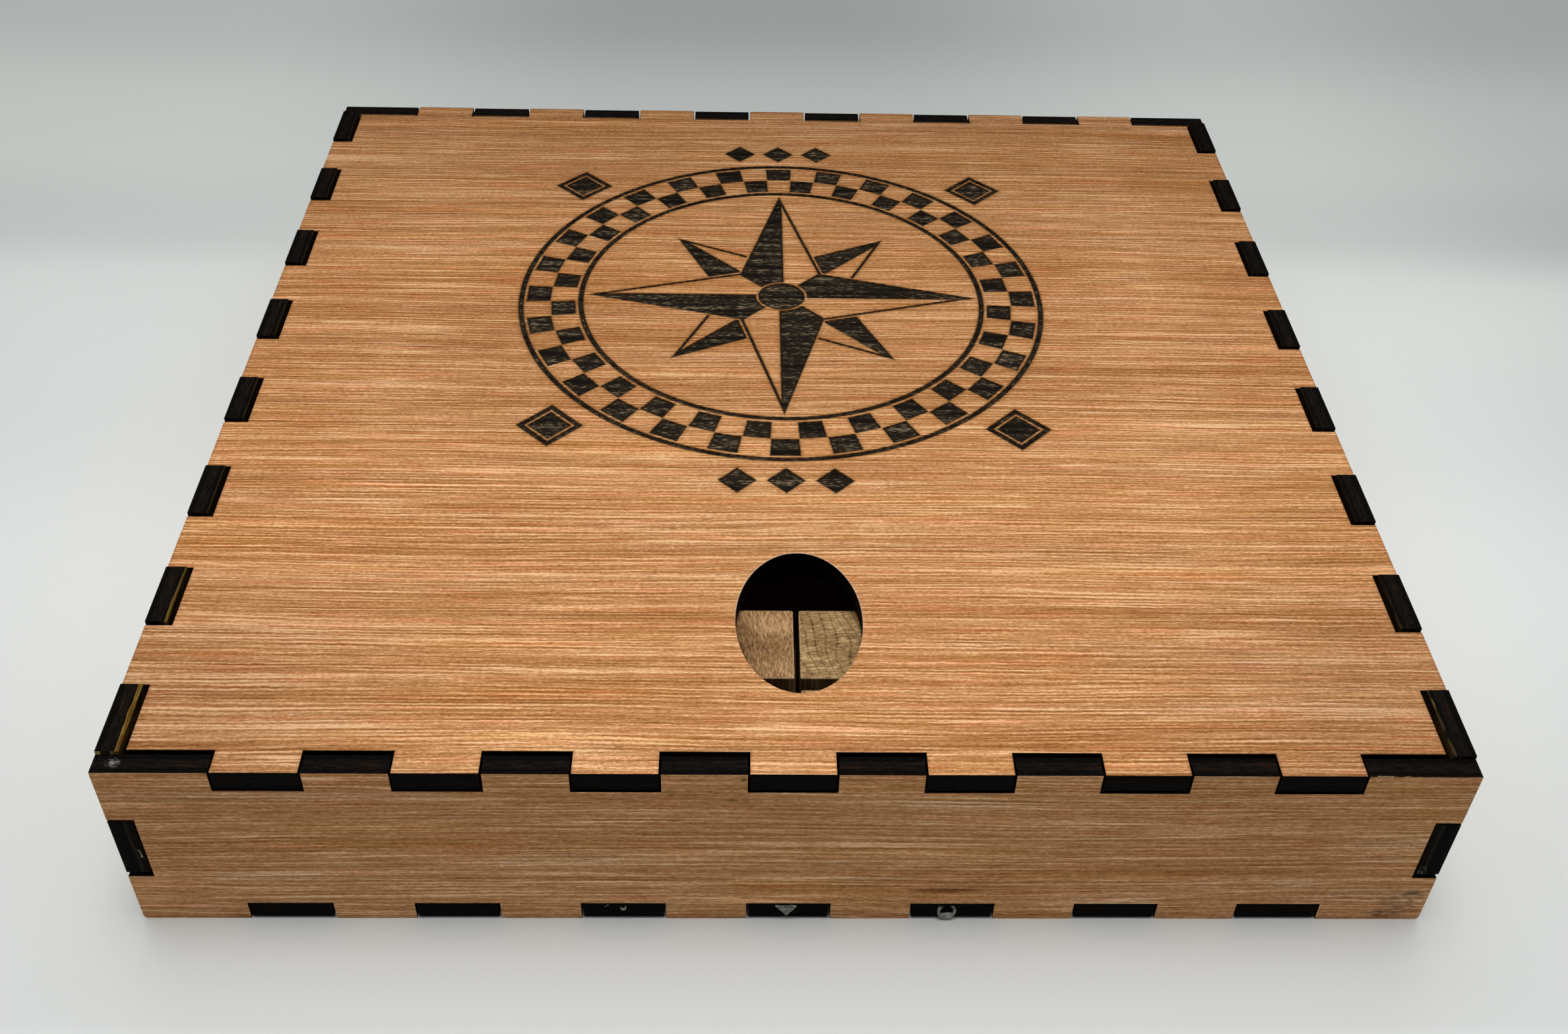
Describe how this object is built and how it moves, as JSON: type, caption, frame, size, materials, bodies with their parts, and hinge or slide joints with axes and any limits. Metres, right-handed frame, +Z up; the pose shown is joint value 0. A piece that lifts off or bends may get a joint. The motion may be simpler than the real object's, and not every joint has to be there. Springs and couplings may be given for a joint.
{
  "type": "chess box",
  "caption": "Shallow square finger-jointed plywood box with a loose lift-off lid, an oval finger hole, and square block chessmen stored inside.",
  "frame": {"origin": "middle of the box's square footprint, in the plane that it stands on", "axes": "+Z up, +Y to the back, +X right; the finger hole is near the front, towards -Y"},
  "size_m": [0.3048, 0.3048, 0.0538],
  "materials": {
    "lid_ply": "bare orange-tan veneer, burnt dark on its cut edges and rosette",
    "base_ply": "bare orange-tan veneer, burnt dark on its cut edges and squares",
    "wall_ply": "bare brown-tan veneer, burnt dark on its cut edges",
    "light_wood": "bare pale end grain",
    "dark_wood": "bare dark brown end grain",
    "glue": "milky, glossy hot glue"
  },
  "bodies": {
    "root": {"front_wall": "wall_ply", "back_wall": "wall_ply", "left_wall": "wall_ply", "right_wall": "wall_ply", "base_panel": "base_ply", "glue_beads": "glue", "light_rook_1": "light_wood", "light_knight_1": "light_wood", "light_bishop_1": "light_wood", "light_queen": "light_wood", "light_king": "light_wood", "light_bishop_2": "light_wood", "light_knight_2": "light_wood", "light_rook_2": "light_wood", "light_pawn_1": "light_wood", "light_pawn_2": "light_wood", "light_pawn_3": "light_wood", "light_pawn_4": "light_wood", "light_pawn_5": "light_wood", "light_pawn_6": "light_wood", "light_pawn_7": "light_wood", "light_pawn_8": "light_wood", "dark_rook_1": "dark_wood", "dark_knight_1": "dark_wood", "dark_bishop_1": "dark_wood", "dark_queen": "dark_wood", "dark_king": "dark_wood", "dark_bishop_2": "dark_wood", "dark_knight_2": "dark_wood", "dark_rook_2": "dark_wood", "dark_pawn_1": "dark_wood", "dark_pawn_2": "dark_wood", "dark_pawn_3": "dark_wood", "dark_pawn_4": "dark_wood", "dark_pawn_5": "dark_wood", "dark_pawn_6": "dark_wood", "dark_pawn_7": "dark_wood", "dark_pawn_8": "dark_wood"},
    "lid": {"lid_panel": "lid_ply"}
  },
  "joints": [
    {"name": "lid_lift", "type": "slide", "parent": "root", "child": "lid", "axis": [0, 0, 1], "range_m": [0, 0.1]}
  ]
}
